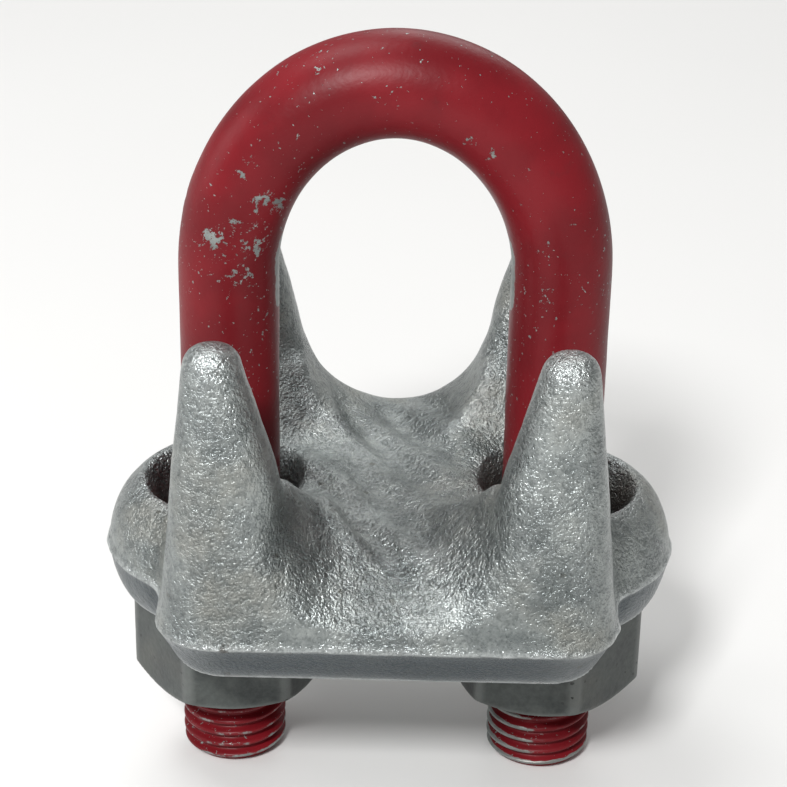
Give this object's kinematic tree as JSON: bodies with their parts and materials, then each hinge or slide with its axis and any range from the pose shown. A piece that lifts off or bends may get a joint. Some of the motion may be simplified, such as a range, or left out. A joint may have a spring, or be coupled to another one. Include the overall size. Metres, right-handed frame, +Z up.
{
  "type": "wire rope clip",
  "caption": "Forged wire rope clip: red painted U-bolt through a galvanised horned saddle, held by heavy hex nuts, for clamping steel rope.",
  "frame": {"origin": "middle of the clip on the floor plane, midway between the two stud ends it stands on", "axes": "+Z up the legs of the U-bolt towards the bow, X across the two legs, Y along the clamped rope"},
  "size_m": [0.1168, 0.0904, 0.1598],
  "materials": {
    "red_paint": "semi-gloss red paint over forged steel, chipped to bare metal",
    "galvanised_forging": "hot-dip galvanised forging with an orange-peel texture",
    "galvanised_nut": "smooth dull hot-dip galvanised steel"
  },
  "bodies": {
    "saddle": {"saddle": "galvanised_forging"},
    "u_bolt": {"u_bolt": "red_paint"},
    "nut_left": {"nut_left": "galvanised_nut"},
    "nut_right": {"nut_right": "galvanised_nut"}
  },
  "joints": [
    {"name": "nut_left_turn", "type": "hinge", "parent": "saddle", "child": "nut_left", "pos_m": [-0.0329, 0, 0.0295], "axis": [0, 0, 1], "range_deg": [-2170, 2170]},
    {"name": "nut_right_turn", "type": "hinge", "parent": "saddle", "child": "nut_right", "pos_m": [0.0329, 0, 0.0295], "axis": [0, 0, 1], "range_deg": [-2170, 2170]},
    {"name": "u_bolt_draw", "type": "slide", "parent": "saddle", "child": "u_bolt", "axis": [0, 0, -1], "range_m": [-0.01693, 0.01693]}
  ],
  "couplings": [
    {"joint": "nut_left_turn", "follows": "u_bolt_draw", "rad_per_m": 2226.5},
    {"joint": "nut_right_turn", "follows": "u_bolt_draw", "rad_per_m": 2226.5}
  ]
}
